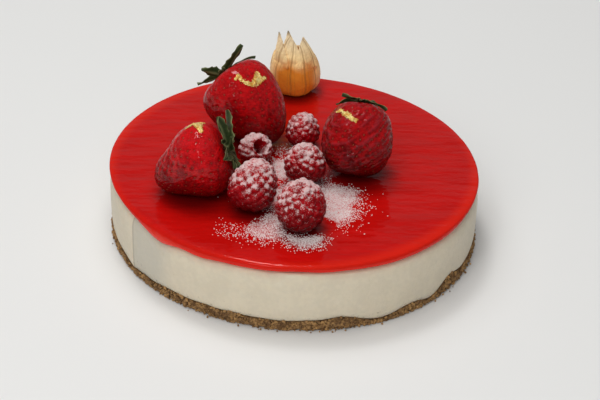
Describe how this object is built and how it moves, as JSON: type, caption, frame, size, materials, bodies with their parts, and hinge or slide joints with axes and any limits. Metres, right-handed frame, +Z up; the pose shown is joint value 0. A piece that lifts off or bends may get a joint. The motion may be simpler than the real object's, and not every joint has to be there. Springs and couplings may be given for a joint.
{
  "type": "strawberry cheesecake",
  "caption": "Round cheesecake: biscuit base, white cheese layer and glossy red jelly top, dressed with strawberries, raspberries and a cape gooseberry in its husk.",
  "frame": {"origin": "the middle of the flat underside, on the surface the cake stands on", "axes": "+Z up, -Y towards the front with the raspberries, +X to the right seen from the front"},
  "size_m": [0.1802, 0.1802, 0.0813],
  "materials": {
    "biscuit": "coarse baked crumb, matte",
    "cheese": "smooth set cheese, softly matte",
    "jelly": "glossy see-through red jelly",
    "strawberry": "moist glossy skin with seeds and gold leaf",
    "leaf": "thin green sepals",
    "raspberry": "soft drupelets dusted with sugar",
    "husk": "dry, papery, see-through husk with veins",
    "gooseberry": "smooth orange berry"
  },
  "bodies": {
    "root": {"crust_base": "biscuit", "cream_filling": "cheese", "strawberry_jelly": "jelly", "strawberry_back": "strawberry", "strawberry_left": "strawberry", "strawberry_right": "strawberry", "strawberry_back_calyx": "leaf", "strawberry_left_calyx": "leaf", "strawberry_right_calyx": "leaf", "raspberry_hollow": "raspberry", "raspberry_back": "raspberry", "raspberry_middle": "raspberry", "raspberry_left": "raspberry", "raspberry_front": "raspberry", "physalis_husk": "husk", "physalis_berry": "gooseberry"}
  },
  "joints": []
}
